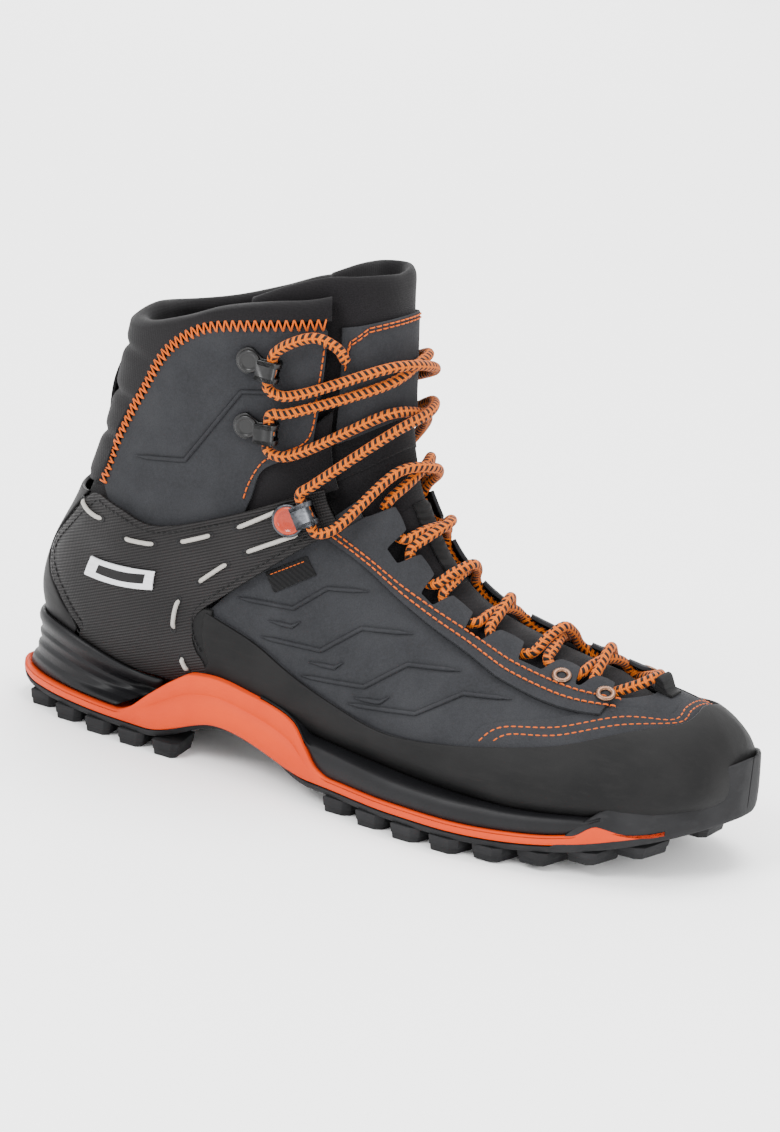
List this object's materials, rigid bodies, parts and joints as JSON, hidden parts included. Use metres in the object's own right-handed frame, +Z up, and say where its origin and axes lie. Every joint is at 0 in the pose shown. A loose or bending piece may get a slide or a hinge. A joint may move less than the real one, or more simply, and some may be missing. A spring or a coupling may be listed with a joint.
{
  "type": "hiking boot",
  "caption": "Mid-cut laced hiking boot with a lugged sole, foam midsole, suede and textile upper, padded cuff and a corded heel sling; right boot, mirror for the left.",
  "frame": {"origin": "middle of the ground footprint, on the ground", "axes": "+X from the heel to the toe, +Y to the inner (medial) side of the foot, +Z up"},
  "size_m": [0.2958, 0.1016, 0.1931],
  "materials": {
    "black_foam": "moulded foam, black",
    "black_metal": "gloss black coating",
    "board": "pressed fibre board",
    "cable": "coated cord, light grey",
    "lace": "round braided cord, orange with black flecks",
    "mesh": "spacer mesh lining, dark grey",
    "orange_foam": "moulded foam, bright orange",
    "orange_rivet": "gloss orange enamel",
    "rand_rubber": "smooth rubber rand, brushed black",
    "silver": "silver coated moulded plate",
    "sling_fabric": "woven reinforced textile, dark warm grey",
    "softshell": "stretch softshell textile, near black",
    "sole_rubber": "matt outsole rubber, charcoal",
    "spring_steel": "spring steel strip",
    "stiffener": "thermoplastic stiffener sheet",
    "suede": "nubuck suede, slate grey",
    "webbing": "ribbed narrow webbing"
  },
  "bodies": {
    "foot": {"backstay": "black_foam", "badge_lateral": "silver", "badge_medial": "silver", "cable_lateral": "cable", "cable_medial": "cable", "eva_wedge": "black_foam", "eyelet_lateral_1": "black_metal", "eyelet_lateral_2": "black_metal", "eyelet_medial_1": "black_metal", "eyelet_medial_2": "black_metal", "eyestay_lateral": "suede", "eyestay_medial": "suede", "flex_gusset_lateral": "softshell", "flex_gusset_medial": "softshell", "footbed": "softshell", "heel_counter": "stiffener", "heel_cup": "black_foam", "lace": "lace", "lace_end_lateral": "lace", "lace_end_medial": "lace", "lasting_board": "board", "lining_foot": "mesh", "lining_heel": "mesh", "lock_rivet_lateral": "orange_rivet", "lock_rivet_medial": "orange_rivet", "midsole": "orange_foam", "outsole": "sole_rubber", "shank": "spring_steel", "sling_lateral": "sling_fabric", "sling_medial": "sling_fabric", "tag": "silver", "toe_bumper": "sole_rubber", "toe_puff": "stiffener", "toe_rand": "rand_rubber", "tongue_flex": "softshell", "tongue_keeper": "webbing", "tongue_lower": "softshell", "vamp": "suede"},
    "cuff": {"collar": "softshell", "cuff_lateral": "suede", "cuff_lining_lateral": "mesh", "cuff_lining_medial": "mesh", "cuff_medial": "suede", "hook_lateral_1": "black_metal", "hook_lateral_2": "black_metal", "hook_medial_1": "black_metal", "hook_medial_2": "black_metal", "hook_rivet_lateral_1": "black_metal", "hook_rivet_lateral_2": "black_metal", "hook_rivet_medial_1": "black_metal", "hook_rivet_medial_2": "black_metal", "pull_tab": "webbing", "tongue_shield": "suede", "tongue_upper": "softshell"},
    "lock_hook_lateral": {"lock_hook_lateral": "black_metal"},
    "lock_hook_medial": {"lock_hook_medial": "black_metal"}
  },
  "joints": [
    {"name": "cuff_flex", "type": "hinge", "parent": "foot", "child": "cuff", "pos_m": [-0.0865, 0.0011, 0.088], "axis": [0, 1, 0], "range_deg": [-3, 8], "stiffness_Nm_per_rad": 6, "deforming": ["lace_end_lateral", "lace_end_medial", "flex_gusset_lateral", "flex_gusset_medial", "tongue_flex"]},
    {"name": "lock_hook_lateral_swivel", "type": "hinge", "parent": "foot", "child": "lock_hook_lateral", "pos_m": [-0.02702, -0.03021, 0.10091], "axis": [0.2391, -0.9688, 0.066], "range_deg": [-8, 10], "deforming": ["lace_end_lateral"]},
    {"name": "lock_hook_medial_swivel", "type": "hinge", "parent": "foot", "child": "lock_hook_medial", "pos_m": [-0.02729, 0.03393, 0.10116], "axis": [0.1952, 0.9751, 0.1057], "range_deg": [-10, 3], "deforming": ["lace_end_medial"]}
  ]
}
